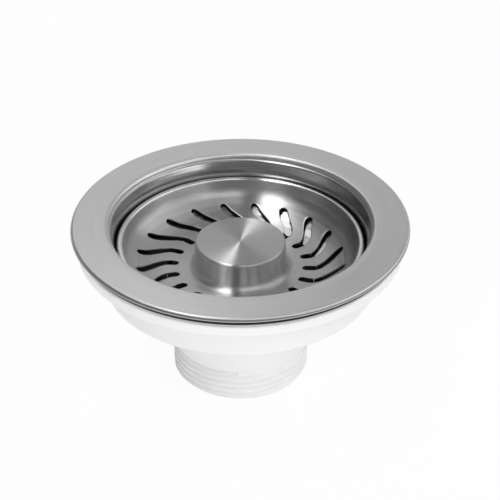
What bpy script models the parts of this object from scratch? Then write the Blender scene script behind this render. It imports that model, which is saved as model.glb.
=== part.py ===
"""Kitchen sink waste with a lift-out strainer plug, in metres, +Z up, standing on the end of its outlet.

A pressed steel flange and bowl hangs through the sink's round hole. A hollow centre screw pulls a white
plastic body up against the sink from below, with one rubber seal above the sheet and one seal below it.
The plug is a dished strainer with swirl slots and a drawn knob. Under it a rubber seal closes the drain
grid, and its stem slides and turns in a bush inside the centre screw, held by a small snap ring.
"""

import math

import bmesh
import bpy
from mathutils import Matrix, Vector

# Clearance between touching pieces, and how far cutters and joined ribs run past what they meet
TOUCH = 0.0003
OVERRUN = 0.001
BITE = 0.0004
WELD = 0.000001

# Facets: sides of the large rings and of the smaller turned pieces, and degrees for each facet of a fillet.
# A fillet up to the plain size is one facet, and a broad one, from the broad size up, has finer facets.
LARGE_SIDES = 48
MEDIUM_SIDES = 36
SMALL_SIDES = 24
FILLET_STEP_DEGREES = 45
PLAIN_FILLET = 0.001
BROAD_FILLET = 0.012
BROAD_STEP_DEGREES = 18
SHARP_ANGLE_DEGREES = 35

# Pressed steel flange and bowl. The mouth's radius sets every larger ring.
MOUTH_RADIUS = 0.04435
MOUTH_FILLET = 0.0022
MOUTH_DEPTH = 0.0027
SHOULDER_WIDTH = 0.00085
SHOULDER_DROP = 0.0005
FLANGE_WIDTH = 0.01265
FLANGE_SHEET = 0.0008
HEM_DROP = 0.0008
HEM_FILLET = 0.0010
BOWL_DRAFT = 0.0014
BOWL_FILLET = 0.0040
FLOOR_GAP = 0.0010
SEAT_DEPTH = 0.0233
RECESS_CLEARANCE = 0.0007
RECESS_DRAFT = 0.0003
RECESS_FILLET = 0.0010
FLOOR_CURVE_RATIO = 1.5
SEAT_INNER_RADIUS = 0.0216
SEAT_FILLET = 0.0012
GRID_DRAFT = 0.0009
PORTS = 4
PORT_RIM = 0.0014
PORT_HALF_ANGLE_DEGREES = 33

# Seals above and below the sheet of the sink
SEAL_MARGIN = 0.0019
FLANGE_SEAL_THICKNESS = 0.0025
FLANGE_SEAL_EDGE = 0.0004
BODY_SEAL_THICKNESS = 0.0007
BODY_SEAL_STEP = 0.0007

# White plastic body: cup, ribbed clamping ring, funnel and outlet
CUP_CLEARANCE = 0.0002
CUP_WALL = 0.0019
DRUM_EDGE = 0.0015
RING_THICKNESS = 0.0038
RING_EDGE = 0.0006
RING_SKIRT = 0.0018
CHANNEL_DEPTH = 0.0015
CHANNEL_RIBS = 12
CHANNEL_RIB_WIDTH = 0.0016
SEAT_SINK = 0.0003
FUNNEL_HEIGHT = 0.0130
FUNNEL_WALL = 0.0020
FUNNEL_FILLET = 0.0030
SPIGOT_RADIUS = 0.0234
SPIGOT_WALL = 0.0028
SPIGOT_LENGTH = 0.0224
SPIGOT_CHAMFER = 0.0006

# Hub and spider in the mouth of the outlet, and the brass insert that the centre screw pulls on
HUB_WALL = 0.0019
HUB_GAP = 0.0039
HUB_LIP = 0.0024
HUB_EDGE = 0.0008
SPIDER_ARMS = 4
SPIDER_ARM_WIDTH = 0.0024
SPIDER_ARM_INSET = 0.0010
INSERT_WALL = 0.0008

# Hollow centre screw, its washer and the bush in its bore
SCREW_WALL = 0.0013
SCREW_CLEARANCE = 0.0003
SCREW_INSET = 0.0020
SCREW_CHAMFER = 0.0008
HEAD_CLEARANCE = 0.0006
HEAD_HEIGHT = 0.0025
HEAD_WALL = 0.0027
HEAD_FILLET = 0.0010
HEAD_SLOT_WIDTH = 0.0024
WASHER_MARGIN = 0.0009
WASHER_THICKNESS = 0.0008
WASHER_TO_PORT = 0.0011
BUSH_WALL = 0.0013
BUSH_LENGTH = 0.0070
BUSH_CLEARANCE = 0.0005
SOCKET_CLEARANCE = 0.0009
SOCKET_FLOOR = 0.0022

# Strainer dish with its drawn knob
BASKET_SHEET = 0.0006
BASKET_CLEARANCE = 0.0017
RIM_WIDTH = 0.0018
RIM_ROLL = 0.0008
RIM_TURN_DOWN = 0.0017
DISH_DEPTH = 0.0107
DISH_WALL_DRAFT = 0.0011
DISH_FLOOR_RISE = 0.0003
DISH_FLANK_SHARE = 0.28
DISH_FLANK_SLOPE = 0.71
DISH_CURVE_RATIO = 2.9
DISH_BEND_RATIO = 0.6
KNOB_RADIUS = 0.0154
KNOB_HEIGHT = 0.0100
KNOB_EDGE = 0.0008
KNOB_FOOT_FILLET = 0.0027
KNOB_DRAFT = 0.0002

# Swirl slots
SLOTS = 20
SLOT_FIRST_DEGREES = 10.4
SLOT_SWIRL_DEGREES = 14.4
SLOT_TO_RIM = 0.0061
SLOT_TO_KNOB = 0.0058
SLOT_WIDTH = 0.0027
SLOT_STATIONS = 6
SLOT_TIP_SHARE = 0.5
SWIRL_END_SHARE = 0.78

# Stopper under the dish, with the stem that guides it
CORE_TOP_EDGE = 0.0008
CORE_BORE_DEPTH = 0.0060
CARRIER_RADIUS = 0.0190
CARRIER_THICKNESS = 0.0015
CARRIER_BOSS_RADIUS = 0.0100
STOPPER_OVERLAP = 0.0034
STOPPER_THICKNESS = 0.0022
STOPPER_LIP_THICKNESS = 0.0012
STOPPER_LIP_WIDTH = 0.0028
RETAINER_OVERLAP = 0.0030
RETAINER_THICKNESS = 0.0010
RETAINER_EDGE = 0.0003
STUD_RADIUS = 0.0030
STUD_CHAMFER = 0.0005
COLLAR_WIDTH = 0.0023
COLLAR_HEIGHT = 0.0012
COLLAR_EDGE = 0.0003
COLLAR_CLEARANCE = 0.0010
COLLAR_GAP = 0.0005
STEM_RADIUS = 0.0035
STEM_LENGTH = 0.0150
STEM_TIP = 0.0012
STEM_END_GAP = 0.0025
GROOVE_DEPTH = 0.0007
SNAP_RING_HEIGHT = 0.0014
SNAP_RING_WALL = 0.0007
SNAP_RING_GAP = 0.0020
SNAP_RING_EDGE = 0.0002

# Radii of the flange, the body and the strainer, each from the mouth's
FLANGE_RADIUS = MOUTH_RADIUS + FLANGE_WIDTH
SEAL_RADIUS = FLANGE_RADIUS - SEAL_MARGIN
FLANGE_SEAL_BORE = MOUTH_RADIUS + MOUTH_FILLET + TOUCH
BOWL_TOP_RADIUS = MOUTH_RADIUS - SHOULDER_WIDTH
BOWL_FOOT_RADIUS = BOWL_TOP_RADIUS - BOWL_DRAFT
CUP_RADIUS = BOWL_TOP_RADIUS + FLANGE_SHEET + CUP_CLEARANCE
BODY_SEAL_BORE = CUP_RADIUS + BODY_SEAL_STEP
DRUM_RADIUS = CUP_RADIUS + CUP_WALL
SKIRT_RADIUS = SEAL_RADIUS - RING_SKIRT
SPIGOT_BORE = SPIGOT_RADIUS - SPIGOT_WALL
BASKET_RIM_RADIUS = BOWL_TOP_RADIUS - BASKET_CLEARANCE
SLOT_OUTER_END = BASKET_RIM_RADIUS - SLOT_TO_RIM
SLOT_INNER_END = KNOB_RADIUS + SLOT_TO_KNOB
STOPPER_RADIUS = SEAT_INNER_RADIUS + STOPPER_OVERLAP
RECESS_RADIUS = STOPPER_RADIUS + RECESS_CLEARANCE
DISH_WALL_TOP = BASKET_RIM_RADIUS - RIM_WIDTH
FLANK_TOP_RADIUS = DISH_WALL_TOP - DISH_WALL_DRAFT
KNOB_FOOT_RADIUS = KNOB_RADIUS + KNOB_DRAFT
FLANK_WIDTH = DISH_FLANK_SHARE * (FLANK_TOP_RADIUS - KNOB_FOOT_RADIUS)
FLANK_FOOT_RADIUS = FLANK_TOP_RADIUS - FLANK_WIDTH

# Radii round the stem, each outside the one before
GROOVE_RADIUS = STEM_RADIUS - GROOVE_DEPTH
STUD_HOLE = STUD_RADIUS + TOUCH
RETAINER_RADIUS = CARRIER_BOSS_RADIUS + RETAINER_OVERLAP
COLLAR_RADIUS = STEM_RADIUS + COLLAR_WIDTH
BUSH_BORE = STEM_RADIUS + BUSH_CLEARANCE
BUSH_RADIUS = BUSH_BORE + BUSH_WALL
SOCKET_RADIUS = STEM_RADIUS + SOCKET_CLEARANCE
SCREW_BORE = BUSH_RADIUS + TOUCH
SCREW_RADIUS = SCREW_BORE + SCREW_WALL
SCREW_HOLE = SCREW_RADIUS + SCREW_CLEARANCE
HEAD_RECESS_RADIUS = COLLAR_RADIUS + COLLAR_CLEARANCE
HEAD_RADIUS = HEAD_RECESS_RADIUS + HEAD_WALL
WASHER_RADIUS = HEAD_RADIUS + WASHER_MARGIN
INSERT_INRADIUS = SCREW_HOLE + INSERT_WALL
POCKET_INRADIUS = INSERT_INRADIUS + TOUCH
HUB_RADIUS = POCKET_INRADIUS / math.cos(math.pi / 6) + HUB_WALL
PORT_INNER_RADIUS = WASHER_RADIUS + WASHER_TO_PORT
PORT_OUTER_RADIUS = SEAT_INNER_RADIUS - GRID_DRAFT - PORT_RIM

# Heights of the plug's pieces above the seat that its stopper closes on
STOPPER_FOOT = TOUCH
CARRIER_FOOT = STOPPER_FOOT + STOPPER_THICKNESS + TOUCH
CARRIER_TOP = CARRIER_FOOT + CARRIER_THICKNESS
DISH_UNDERSIDE = CARRIER_TOP + TOUCH
DISH_FLOOR = DISH_UNDERSIDE + BASKET_SHEET
FLANK_FOOT = DISH_FLOOR + DISH_FLOOR_RISE
FLANK_TOP = FLANK_FOOT + DISH_FLANK_SLOPE * FLANK_WIDTH
RIM_TOP = DISH_FLOOR + DISH_DEPTH
KNOB_TOP = DISH_FLOOR + KNOB_HEIGHT
CORE_TOP = KNOB_TOP - BASKET_SHEET - TOUCH
CORE_BORE_TOP = DISH_UNDERSIDE + CORE_BORE_DEPTH
RETAINER_TOP = STOPPER_FOOT - TOUCH
RETAINER_FOOT = RETAINER_TOP - RETAINER_THICKNESS
COLLAR_TOP = RETAINER_FOOT - TOUCH
COLLAR_FOOT = COLLAR_TOP - COLLAR_HEIGHT
STEM_END = COLLAR_FOOT - STEM_LENGTH

# Heights above the end of the outlet, first up to the flange's top and then down the screw
DRUM_FOOT = SPIGOT_LENGTH + FUNNEL_HEIGHT
SEAT = DRUM_FOOT - SEAT_SINK
FLANGE_TOP = SEAT + SEAT_DEPTH
FLANGE_SEAL_FOOT = FLANGE_TOP - FLANGE_SHEET - TOUCH - FLANGE_SEAL_THICKNESS
BODY_SEAL_FOOT = FLANGE_SEAL_FOOT - TOUCH - BODY_SEAL_THICKNESS
BODY_TOP = BODY_SEAL_FOOT - TOUCH
RING_FOOT = BODY_TOP - RING_THICKNESS
HEAD_TOP = SEAT + RETAINER_FOOT - HEAD_CLEARANCE
HEAD_FOOT = HEAD_TOP - HEAD_HEIGHT
WASHER_FOOT = HEAD_FOOT - TOUCH - WASHER_THICKNESS
GRID = WASHER_FOOT - TOUCH
BUSH_TOP = SEAT + COLLAR_FOOT - COLLAR_GAP
BUSH_FOOT = BUSH_TOP - BUSH_LENGTH
SOCKET_END = SEAT + STEM_END - STEM_END_GAP
SCREW_END = SOCKET_END - SOCKET_FLOOR
HUB_TOP = GRID - FLANGE_SHEET - HUB_GAP
HUB_FOOT = SCREW_END - SCREW_INSET
INSERT_TOP = HUB_TOP - HUB_LIP - TOUCH
SNAP_RING_TOP = BUSH_FOOT - TOUCH - SEAT
SNAP_RING_FOOT = SNAP_RING_TOP - SNAP_RING_HEIGHT


def clear_scene():
    for thing in list(bpy.data.objects):
        bpy.data.objects.remove(thing)


def finish(name, colour, roughness, metallic):
    material = bpy.data.materials.new(name)
    material.use_nodes = True
    shader = material.node_tree.nodes["Principled BSDF"]
    shader.inputs["Base Color"].default_value = (*colour, 1)
    shader.inputs["Roughness"].default_value = roughness
    shader.inputs["Metallic"].default_value = metallic
    return material


def empty(name, height, parent=None):
    """A guide on the waste's axis, which moving pieces hang from."""
    guide = bpy.data.objects.new(name, None)
    guide.location = (0, 0, height)
    guide.parent = parent
    bpy.context.collection.objects.link(guide)
    return guide


def new_object(name, shape, material=None, height=0.0, parent=None):
    """Turns a bmesh into a smooth-shaded object at this height on the axis."""
    mesh = bpy.data.meshes.new(name)
    shape.to_mesh(mesh)
    shape.free()
    piece = bpy.data.objects.new(name, mesh)
    piece.location = (0, 0, height)
    piece.parent = parent
    bpy.context.collection.objects.link(piece)
    if material:
        mesh.materials.append(material)
    mesh.shade_smooth()
    mesh.set_sharp_from_angle(angle=math.radians(SHARP_ANGLE_DEGREES))
    return piece


def helper(name, shape, height=0.0, parent=None):
    """A cutter or a joined part: it shapes another object and is no piece by itself."""
    tool = new_object(name, shape, None, height, parent)
    tool.hide_render = True
    tool.display_type = "WIRE"
    return tool


def combine(piece, tool, operation):
    change = piece.modifiers.new(tool.name, "BOOLEAN")
    change.operation = operation
    change.object = tool


def filleted(corners, closed=False):
    """Points through (radius, height, fillet) corners, with each fillet an arc tangent to both sides."""
    points = []
    for index, (radius, height, fillet) in enumerate(corners):
        corner = Vector((radius, height))
        at_end = not closed and index in (0, len(corners) - 1)
        if fillet == 0 or at_end:
            points.append(corner)
            continue
        back = (Vector(corners[index - 1][:2]) - corner).normalized()
        ahead = (Vector(corners[(index + 1) % len(corners)][:2]) - corner).normalized()
        half = back.angle(ahead) / 2
        centre = corner + (back + ahead).normalized() * fillet / math.sin(half)
        start = corner + back * fillet / math.tan(half) - centre
        sweep = math.pi - 2 * half
        turn = sweep if back.cross(ahead) < 0 else -sweep
        step_degrees = BROAD_STEP_DEGREES if fillet >= BROAD_FILLET else FILLET_STEP_DEGREES
        steps = 1 if fillet <= PLAIN_FILLET else max(1, round(math.degrees(sweep) / step_degrees))
        for step in range(steps + 1):
            points.append(centre + Matrix.Rotation(turn * step / steps, 2) @ start)
    return points


def turned_shape(outline, sides, closed):
    """Spins an outline round the axis. A closed outline makes a ring, and an open one a sheet or a solid core."""
    shape = bmesh.new()
    corners = [shape.verts.new((radius, 0, height)) for radius, height in outline]
    pairs = list(zip(corners, corners[1:]))
    if closed:
        pairs.append((corners[-1], corners[0]))
    edges = [shape.edges.new(pair) for pair in pairs]
    bmesh.ops.spin(
        shape,
        geom=corners + edges,
        cent=(0, 0, 0),
        axis=(0, 0, 1),
        angle=math.tau,
        steps=sides,
        use_merge=True,
    )
    bmesh.ops.remove_doubles(shape, verts=shape.verts, dist=WELD)
    bmesh.ops.recalc_face_normals(shape, faces=shape.faces)
    return shape


def turned_ring(name, corners, sides, material, height=0.0, parent=None):
    """A ring or tube turned from a closed outline that stays clear of the axis."""
    shape = turned_shape(filleted(corners, closed=True), sides, closed=True)
    return new_object(name, shape, material, height, parent)


def turned_core(name, corners, sides, material, height=0.0, parent=None):
    """A solid piece turned from an outline that starts and ends on the axis."""
    shape = turned_shape(filleted(corners), sides, closed=False)
    return new_object(name, shape, material, height, parent)


def pressed_sheet(name, corners, thickness, material, height=0.0, parent=None):
    """A sheet pressed to this outline, which is its upper face. The thickness lies below it."""
    shape = turned_shape(filleted(corners), LARGE_SIDES, closed=False)
    if sum(face.normal.z * face.calc_area() for face in shape.faces) < 0:
        bmesh.ops.reverse_faces(shape, faces=shape.faces)
    piece = new_object(name, shape, material, height, parent)
    wall = piece.modifiers.new("thickness", "SOLIDIFY")
    wall.thickness = thickness
    wall.offset = -1
    wall.use_even_offset = True
    return piece


def prisms(outlines, foot, top):
    """Upright prisms on these plan outlines, from foot to top."""
    shape = bmesh.new()
    for outline in outlines:
        face = shape.faces.new([shape.verts.new((x, y, foot)) for x, y in outline])
        raised = bmesh.ops.extrude_face_region(shape, geom=[face])["geom"]
        corners = [item for item in raised if isinstance(item, bmesh.types.BMVert)]
        bmesh.ops.translate(shape, verts=corners, vec=(0, 0, top - foot))
    bmesh.ops.recalc_face_normals(shape, faces=shape.faces)
    return shape


def around(angle, radius, sideways=0.0):
    """The plan point at this radius along a ray, moved sideways to the left of it."""
    along = Vector((math.cos(angle), math.sin(angle)))
    across = Vector((-along.y, along.x))
    return along * radius + across * sideways


def bars(count, inner, outer, width, first=0.0):
    """Plan outlines of straight radial bars."""
    outlines = []
    for index in range(count):
        angle = first + math.tau * index / count
        outlines.append([
            around(angle, inner, -width / 2),
            around(angle, outer, -width / 2),
            around(angle, outer, width / 2),
            around(angle, inner, width / 2),
        ])
    return outlines


def hexagon(inradius):
    corner = inradius / math.cos(math.pi / 6)
    return [around(math.tau * index / 6, corner) for index in range(6)]


def make_waste_body(material):
    """Cup, funnel and outlet in one moulding, with a ribbed clamping ring and a hub on four arms."""
    run = DRUM_RADIUS - DRUM_EDGE - SPIGOT_RADIUS
    slope = FUNNEL_HEIGHT / run
    lift = FUNNEL_WALL * math.hypot(1, slope)
    cup_floor = DRUM_FOOT + lift - slope * (DRUM_RADIUS - DRUM_EDGE - CUP_RADIUS)
    bore_top = SPIGOT_LENGTH + lift - slope * (SPIGOT_RADIUS - SPIGOT_BORE)
    channel_roof = RING_FOOT + CHANNEL_DEPTH
    body = turned_ring(
        "waste_body",
        [
            (SPIGOT_BORE, 0, 0),
            (SPIGOT_RADIUS - SPIGOT_CHAMFER, 0, 0),
            (SPIGOT_RADIUS, SPIGOT_CHAMFER, 0),
            (SPIGOT_RADIUS, SPIGOT_LENGTH, FUNNEL_FILLET),
            (DRUM_RADIUS - DRUM_EDGE, DRUM_FOOT, 0),
            (DRUM_RADIUS, DRUM_FOOT, DRUM_EDGE),
            (DRUM_RADIUS, channel_roof, 0),
            (SKIRT_RADIUS, channel_roof, 0),
            (SKIRT_RADIUS, RING_FOOT, 0),
            (SEAL_RADIUS, RING_FOOT, RING_EDGE),
            (SEAL_RADIUS, BODY_TOP, RING_EDGE),
            (CUP_RADIUS, BODY_TOP, 0),
            (CUP_RADIUS, cup_floor, 0),
            (SPIGOT_BORE, bore_top, 0),
        ],
        LARGE_SIDES,
        material,
    )
    ribs = bars(CHANNEL_RIBS, DRUM_RADIUS - BITE, SKIRT_RADIUS + BITE, CHANNEL_RIB_WIDTH)
    rib_shape = prisms(ribs, RING_FOOT + TOUCH, channel_roof + BITE)
    combine(body, helper("channel_ribs", rib_shape), "UNION")

    spider_turn = math.pi / SPIDER_ARMS
    arms = bars(
        SPIDER_ARMS, HUB_RADIUS - OVERRUN, SPIGOT_BORE + OVERRUN, SPIDER_ARM_WIDTH, spider_turn
    )
    arm_shape = prisms(arms, HUB_FOOT + SPIDER_ARM_INSET, HUB_TOP - SPIDER_ARM_INSET)
    hub = turned_ring(
        "hub",
        [
            (SCREW_HOLE, HUB_FOOT, 0),
            (HUB_RADIUS, HUB_FOOT, HUB_EDGE),
            (HUB_RADIUS, HUB_TOP, HUB_EDGE),
            (SCREW_HOLE, HUB_TOP, 0),
        ],
        SMALL_SIDES,
        None,
    )
    hub.hide_render = True
    hub.display_type = "WIRE"
    combine(body, helper("spider_arms", arm_shape), "UNION")
    combine(body, hub, "UNION")
    pocket_shape = prisms([hexagon(POCKET_INRADIUS)], HUB_FOOT - OVERRUN, HUB_TOP - HUB_LIP)
    combine(body, helper("insert_pocket", pocket_shape), "DIFFERENCE")
    return body


def make_thread_insert(material):
    """Hexagonal brass nut, pressed up into the hub from below so that the screw can't pull it out."""
    shape = prisms([hexagon(INSERT_INRADIUS)], HUB_FOOT, INSERT_TOP)
    insert = new_object("thread_insert", shape, material)
    bore = [around(math.tau * side / SMALL_SIDES, SCREW_HOLE) for side in range(SMALL_SIDES)]
    bore_shape = prisms([bore], HUB_FOOT - OVERRUN, INSERT_TOP + OVERRUN)
    combine(insert, helper("insert_bore", bore_shape), "DIFFERENCE")


def make_seals(rubber, foam):
    turned_ring(
        "body_seal",
        [
            (BODY_SEAL_BORE, 0, 0),
            (SEAL_RADIUS, 0, 0),
            (SEAL_RADIUS, BODY_SEAL_THICKNESS, 0),
            (BODY_SEAL_BORE, BODY_SEAL_THICKNESS, 0),
        ],
        LARGE_SIDES,
        foam,
        BODY_SEAL_FOOT,
    )
    turned_ring(
        "flange_seal",
        [
            (FLANGE_SEAL_BORE, 0, 0),
            (SEAL_RADIUS, 0, FLANGE_SEAL_EDGE),
            (SEAL_RADIUS, FLANGE_SEAL_THICKNESS, FLANGE_SEAL_EDGE),
            (FLANGE_SEAL_BORE, FLANGE_SEAL_THICKNESS, 0),
        ],
        LARGE_SIDES,
        rubber,
        FLANGE_SEAL_FOOT,
    )


def port_outline(middle):
    """A ring sector through the drain grid, between two of its spokes."""
    half = math.radians(PORT_HALF_ANGLE_DEGREES)
    facets = SMALL_SIDES // PORTS
    outer = [middle - half + 2 * half * step / facets for step in range(facets + 1)]
    points = [around(angle, PORT_OUTER_RADIUS) for angle in outer]
    return points + [around(angle, PORT_INNER_RADIUS) for angle in reversed(outer)]


def make_steel_flange(material):
    """Flange, bowl, recessed sealing seat and sunken grid, drawn from one sheet. Heights are below its top.

    The bowl's floor and flank follow the strainer's at an even gap.
    """
    below = BASKET_SHEET + FLOOR_GAP
    floor = FLANK_FOOT - below - SEAT_DEPTH
    recess_mouth = RECESS_RADIUS + RECESS_DRAFT
    flank_foot = FLANK_FOOT_RADIUS + below * math.tan(math.atan(DISH_FLANK_SLOPE) / 2)
    bowl_foot = floor + (BOWL_FOOT_RADIUS - flank_foot) * DISH_FLANK_SLOPE
    flange = pressed_sheet(
        "steel_flange",
        [
            (FLANGE_RADIUS, -FLANGE_SHEET - HEM_DROP, 0),
            (FLANGE_RADIUS, 0, HEM_FILLET),
            (MOUTH_RADIUS, 0, MOUTH_FILLET),
            (MOUTH_RADIUS, -MOUTH_DEPTH, 0),
            (BOWL_TOP_RADIUS, -MOUTH_DEPTH - SHOULDER_DROP, 0),
            (BOWL_FOOT_RADIUS, bowl_foot, BOWL_FILLET),
            (flank_foot, floor, FLOOR_CURVE_RATIO * (flank_foot - recess_mouth)),
            (recess_mouth, floor - DISH_FLOOR_RISE, RECESS_FILLET),
            (RECESS_RADIUS, -SEAT_DEPTH, 0),
            (SEAT_INNER_RADIUS, -SEAT_DEPTH, SEAT_FILLET),
            (SEAT_INNER_RADIUS - GRID_DRAFT, GRID - FLANGE_TOP, 0),
            (SCREW_HOLE, GRID - FLANGE_TOP, 0),
        ],
        FLANGE_SHEET,
        material,
        FLANGE_TOP,
    )
    ports = [port_outline(math.tau * index / PORTS) for index in range(PORTS)]
    port_shape = prisms(ports, GRID - FLANGE_SHEET - OVERRUN, GRID + OVERRUN)
    combine(flange, helper("grid_ports", port_shape), "DIFFERENCE")


def make_centre_screw(steel, washer_plastic, bush_plastic):
    """Hollow screw with a recessed, slotted head, its washer, and the bush that guides the stem."""
    screw = turned_core(
        "centre_screw",
        [
            (0, SCREW_END, 0),
            (SCREW_RADIUS - SCREW_CHAMFER, SCREW_END, 0),
            (SCREW_RADIUS, SCREW_END + SCREW_CHAMFER, 0),
            (SCREW_RADIUS, HEAD_FOOT, 0),
            (HEAD_RADIUS, HEAD_FOOT, 0),
            (HEAD_RADIUS, HEAD_TOP, HEAD_FILLET),
            (HEAD_RECESS_RADIUS, HEAD_TOP, 0),
            (HEAD_RECESS_RADIUS, BUSH_TOP, 0),
            (SCREW_BORE, BUSH_TOP, 0),
            (SCREW_BORE, BUSH_FOOT - TOUCH, 0),
            (SOCKET_RADIUS, BUSH_FOOT - TOUCH, 0),
            (SOCKET_RADIUS, SOCKET_END, 0),
            (0, SOCKET_END, 0),
        ],
        SMALL_SIDES,
        steel,
    )
    slot = bars(1, -HEAD_RADIUS - OVERRUN, HEAD_RADIUS + OVERRUN, HEAD_SLOT_WIDTH, math.pi / 4)
    slot_shape = prisms(slot, BUSH_TOP + TOUCH, HEAD_TOP + OVERRUN)
    combine(screw, helper("driver_slot", slot_shape), "DIFFERENCE")
    turned_ring(
        "screw_washer",
        [
            (SCREW_HOLE, 0, 0),
            (WASHER_RADIUS, 0, 0),
            (WASHER_RADIUS, WASHER_THICKNESS, 0),
            (SCREW_HOLE, WASHER_THICKNESS, 0),
        ],
        SMALL_SIDES,
        washer_plastic,
        WASHER_FOOT,
    )
    turned_ring(
        "guide_bush",
        [
            (BUSH_BORE, 0, 0),
            (BUSH_RADIUS, 0, 0),
            (BUSH_RADIUS, BUSH_LENGTH, 0),
            (BUSH_BORE, BUSH_LENGTH, 0),
        ],
        SMALL_SIDES,
        bush_plastic,
        BUSH_FOOT,
    )


def slot_outline(first):
    """Plan outline of one slot, an S of even width from its outer end inwards and clockwise."""
    left = []
    right = []
    for station in range(SLOT_STATIONS + 1):
        share = station / SLOT_STATIONS
        turned = min(1, share / SWIRL_END_SHARE)
        ease = turned**2 * (3 - 2 * turned)
        angle = first - math.radians(SLOT_SWIRL_DEGREES) * ease
        radius = SLOT_OUTER_END + (SLOT_INNER_END - SLOT_OUTER_END) * share
        half = SLOT_WIDTH / 2
        if station in (0, SLOT_STATIONS):
            half *= SLOT_TIP_SHARE
        left.append(around(angle, radius, half))
        right.append(around(angle, radius, -half))
    return left + right[::-1]


def make_strainer_basket(material, axis):
    """Dish and knob drawn from one sheet with a rolled rim, pierced by the swirl slots."""
    basket = pressed_sheet(
        "strainer_basket",
        [
            (0, KNOB_TOP, 0),
            (KNOB_RADIUS, KNOB_TOP, KNOB_EDGE),
            (KNOB_FOOT_RADIUS, DISH_FLOOR, KNOB_FOOT_FILLET),
            (FLANK_FOOT_RADIUS, FLANK_FOOT, DISH_CURVE_RATIO * FLANK_WIDTH),
            (FLANK_TOP_RADIUS, FLANK_TOP, DISH_BEND_RATIO * FLANK_WIDTH),
            (DISH_WALL_TOP, RIM_TOP, RIM_ROLL),
            (BASKET_RIM_RADIUS, RIM_TOP, RIM_ROLL),
            (BASKET_RIM_RADIUS, RIM_TOP - RIM_TURN_DOWN, 0),
        ],
        BASKET_SHEET,
        material,
        0,
        axis,
    )
    first = math.radians(SLOT_FIRST_DEGREES)
    slots = [slot_outline(first + math.tau * index / SLOTS) for index in range(SLOTS)]
    slot_shape = prisms(slots, DISH_UNDERSIDE - OVERRUN, RIM_TOP)
    combine(basket, helper("swirl_slots", slot_shape, 0, axis), "DIFFERENCE")


def make_stopper(plastic, rubber, steel, axis):
    """Core inside the knob, and below it the carrier, rubber seal, retainer and stem that close the drain."""
    core_radius = KNOB_RADIUS - BASKET_SHEET - TOUCH
    turned_core(
        "knob_core",
        [
            (0, CORE_BORE_TOP, 0),
            (STUD_HOLE, CORE_BORE_TOP, 0),
            (STUD_HOLE, DISH_UNDERSIDE, 0),
            (core_radius, DISH_UNDERSIDE, 0),
            (core_radius, CORE_TOP, CORE_TOP_EDGE),
            (0, CORE_TOP, 0),
        ],
        MEDIUM_SIDES,
        plastic,
        0,
        axis,
    )
    turned_ring(
        "seal_carrier",
        [
            (STUD_HOLE, STOPPER_FOOT, 0),
            (CARRIER_BOSS_RADIUS, STOPPER_FOOT, 0),
            (CARRIER_BOSS_RADIUS, CARRIER_FOOT, 0),
            (CARRIER_RADIUS, CARRIER_FOOT, 0),
            (CARRIER_RADIUS, CARRIER_TOP, 0),
            (STUD_HOLE, CARRIER_TOP, 0),
        ],
        MEDIUM_SIDES,
        plastic,
        0,
        axis,
    )
    lip_root = STOPPER_RADIUS - STOPPER_LIP_WIDTH
    turned_ring(
        "stopper_seal",
        [
            (CARRIER_BOSS_RADIUS + TOUCH, STOPPER_FOOT, 0),
            (STOPPER_RADIUS, STOPPER_FOOT, 0),
            (STOPPER_RADIUS, STOPPER_FOOT + STOPPER_LIP_THICKNESS, 0),
            (lip_root, STOPPER_FOOT + STOPPER_THICKNESS, 0),
            (CARRIER_BOSS_RADIUS + TOUCH, STOPPER_FOOT + STOPPER_THICKNESS, 0),
        ],
        MEDIUM_SIDES,
        rubber,
        0,
        axis,
    )
    turned_ring(
        "seal_retainer",
        [
            (STUD_HOLE, RETAINER_FOOT, 0),
            (RETAINER_RADIUS, RETAINER_FOOT, RETAINER_EDGE),
            (RETAINER_RADIUS, RETAINER_TOP, 0),
            (STUD_HOLE, RETAINER_TOP, 0),
        ],
        MEDIUM_SIDES,
        steel,
        0,
        axis,
    )
    stud_top = CORE_BORE_TOP - TOUCH
    turned_core(
        "plug_stem",
        [
            (0, stud_top, 0),
            (STUD_RADIUS, stud_top, STUD_CHAMFER),
            (STUD_RADIUS, COLLAR_TOP, 0),
            (COLLAR_RADIUS, COLLAR_TOP, COLLAR_EDGE),
            (COLLAR_RADIUS, COLLAR_FOOT, COLLAR_EDGE),
            (STEM_RADIUS, COLLAR_FOOT, 0),
            (STEM_RADIUS, SNAP_RING_TOP + TOUCH, 0),
            (GROOVE_RADIUS, SNAP_RING_TOP + TOUCH, 0),
            (GROOVE_RADIUS, SNAP_RING_FOOT - TOUCH, 0),
            (STEM_RADIUS, SNAP_RING_FOOT - TOUCH, 0),
            (STEM_RADIUS, STEM_END, STEM_TIP),
            (0, STEM_END, 0),
        ],
        SMALL_SIDES,
        steel,
        0,
        axis,
    )


def make_snap_ring(material, axis):
    """Open spring ring in the stem's groove, which rises and falls with the stem while the stem turns in it."""
    inner = GROOVE_RADIUS + TOUCH
    outer = inner + SNAP_RING_WALL
    ring = turned_ring(
        "snap_ring",
        [
            (inner, SNAP_RING_FOOT, 0),
            (outer, SNAP_RING_FOOT, SNAP_RING_EDGE),
            (outer, SNAP_RING_TOP, SNAP_RING_EDGE),
            (inner, SNAP_RING_TOP, 0),
        ],
        SMALL_SIDES,
        material,
        0,
        axis,
    )
    gap = bars(1, 0, outer + OVERRUN, SNAP_RING_GAP)
    gap_shape = prisms(gap, SNAP_RING_FOOT - OVERRUN, SNAP_RING_TOP + OVERRUN)
    combine(ring, helper("ring_gap", gap_shape, 0, axis), "DIFFERENCE")


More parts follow.
